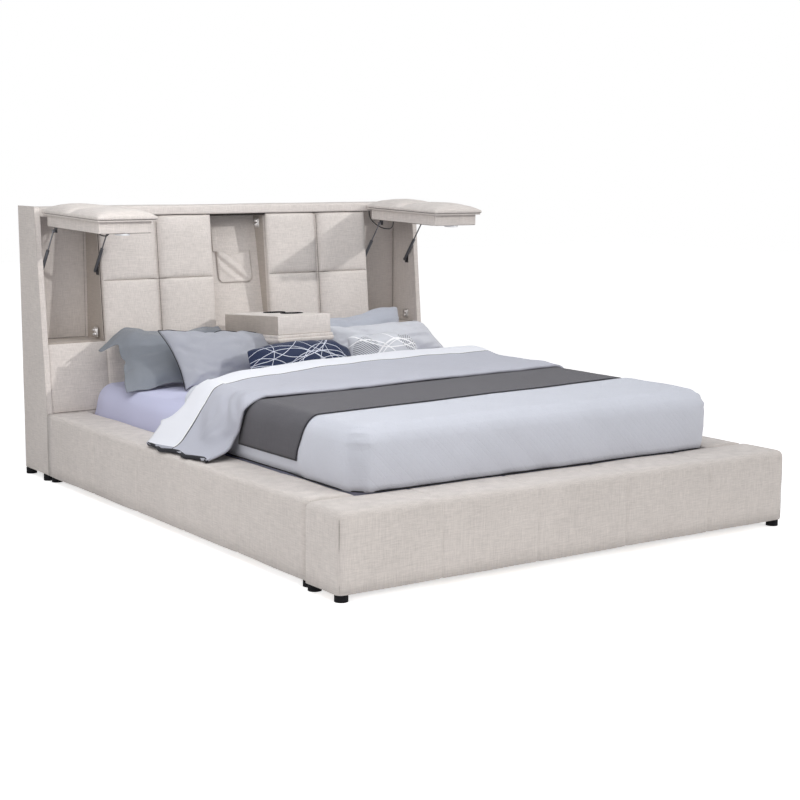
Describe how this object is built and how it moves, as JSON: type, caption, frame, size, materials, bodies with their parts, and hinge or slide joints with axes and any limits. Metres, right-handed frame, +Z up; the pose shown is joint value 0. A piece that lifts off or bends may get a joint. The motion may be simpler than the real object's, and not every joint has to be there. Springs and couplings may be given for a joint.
{
  "type": "storage platform bed",
  "caption": "Upholstered platform bed with a leaning padded headboard that holds storage bins behind two lift-up flaps and a fold-down armrest with cup holders, dressed with bedding.",
  "frame": {"origin": "on the floor, at the middle of the whole bed", "axes": "+X to the right seen from the foot, +Y from the footboard to the headboard, +Z up"},
  "size_m": [1.93, 2.48, 1.1373],
  "materials": {
    "weave": "woven linen-look upholstery",
    "frame_wood": "plain softwood",
    "board": "plain board",
    "steel": "zinc-plated",
    "chrome": "polished",
    "dark_steel": "satin dark grey",
    "rod_steel": "polished rod",
    "black_plastic": "matt black",
    "lamp": "white lamp with a clear lens",
    "cable": "dark sheathed cable",
    "sheet_lilac": "fitted cotton sheet",
    "duvet_grey": "pale grey cotton",
    "fold_white": "white and pale grey cotton",
    "blanket": "dark grey blanket",
    "sham_grey": "grey cotton",
    "sham_blue": "blue-grey cotton",
    "pillow_grey": "light grey cotton",
    "navy": "navy cloth with white arcs",
    "pattern": "light grey cloth with white arcs"
  },
  "bodies": {
    "bed": {"back_panel": "weave", "bed_runner": "blanket", "bin_floors": "weave", "bolts": "steel", "catches": "chrome", "centre_back": "weave", "centre_support": "steel", "cushion_navy": "navy", "cushion_pattern": "pattern", "dividers": "weave", "duvet": "duvet_grey", "duvet_fold": "fold_white", "feet": "black_plastic", "footboard_cover": "weave", "footboard_frame": "frame_wood", "headboard_base": "frame_wood", "hinge_pins": "steel", "hinge_plates": "steel", "light_cables": "cable", "lower_panels": "weave", "mattress": "sheet_lilac", "panel_boards": "board", "panel_cushion_left": "weave", "panel_cushion_right": "weave", "pillow_left": "pillow_grey", "pillow_right": "pillow_grey", "pocket": "weave", "rail_brackets": "steel", "rail_cover_left": "weave", "rail_cover_right": "weave", "rail_frames": "frame_wood", "sham_left": "sham_grey", "sham_right": "sham_blue", "slat_ledges": "frame_wood", "slats": "frame_wood", "strut_mounts": "dark_steel", "top_cap": "weave", "wing_left": "weave", "wing_right": "weave"},
    "flap_left": {"flap_board_left": "weave", "flap_box_left": "weave", "flap_cushion_left": "weave", "flap_light_left": "lamp", "flap_hinge_left": "steel", "flap_brackets_left": "dark_steel"},
    "strut_cylinder_left": {"strut_cylinders_left": "dark_steel"},
    "strut_rod_left": {"strut_rods_left": "rod_steel"},
    "flap_right": {"flap_board_right": "weave", "flap_box_right": "weave", "flap_cushion_right": "weave", "flap_light_right": "lamp", "flap_hinge_right": "steel", "flap_brackets_right": "dark_steel"},
    "strut_cylinder_right": {"strut_cylinders_right": "dark_steel"},
    "strut_rod_right": {"strut_rods_right": "rod_steel"},
    "armrest": {"armrest_board": "weave", "armrest_box": "weave", "armrest_cushion": "weave", "cup_holders": "black_plastic", "armrest_hinge": "steel"}
  },
  "joints": [
    {"name": "flap_left_hinge", "type": "hinge", "parent": "bed", "child": "flap_left", "pos_m": [-0.792, 1.07561, 1.09033], "axis": [1, 0, 0], "range_deg": [0, 83.2], "deforming": ["light_cables"]},
    {"name": "strut_left_pivot", "type": "hinge", "parent": "bed", "child": "strut_cylinder_left", "pos_m": [-0.792, 1.11189, 0.85], "axis": [-1, 0, 0], "range_deg": [0, 44.3]},
    {"name": "strut_left_slide", "type": "slide", "parent": "strut_cylinder_left", "child": "strut_rod_left", "axis": [0, -0.6145, 0.7889], "range_m": [-0.0918, 0]},
    {"name": "flap_right_hinge", "type": "hinge", "parent": "bed", "child": "flap_right", "pos_m": [0.792, 1.07561, 1.09033], "axis": [1, 0, 0], "range_deg": [0, 83.2]},
    {"name": "strut_right_pivot", "type": "hinge", "parent": "bed", "child": "strut_cylinder_right", "pos_m": [0.792, 1.11189, 0.85], "axis": [-1, 0, 0], "range_deg": [0, 44.3]},
    {"name": "strut_right_slide", "type": "slide", "parent": "strut_cylinder_right", "child": "strut_rod_right", "axis": [0, -0.6145, 0.7889], "range_m": [-0.0918, 0]},
    {"name": "armrest_hinge", "type": "hinge", "parent": "bed", "child": "armrest", "pos_m": [0, 1.02535, 0.56833], "axis": [-1, 0, 0], "range_deg": [0, 92.1]}
  ],
  "couplings": [
    {"joint": "strut_left_pivot", "follows": "flap_left_hinge", "ratio": 0.53144},
    {"joint": "strut_left_slide", "follows": "flap_left_hinge", "m_per_rad": -0.063083},
    {"joint": "strut_right_pivot", "follows": "flap_right_hinge", "ratio": 0.53144},
    {"joint": "strut_right_slide", "follows": "flap_right_hinge", "m_per_rad": -0.063083}
  ]
}
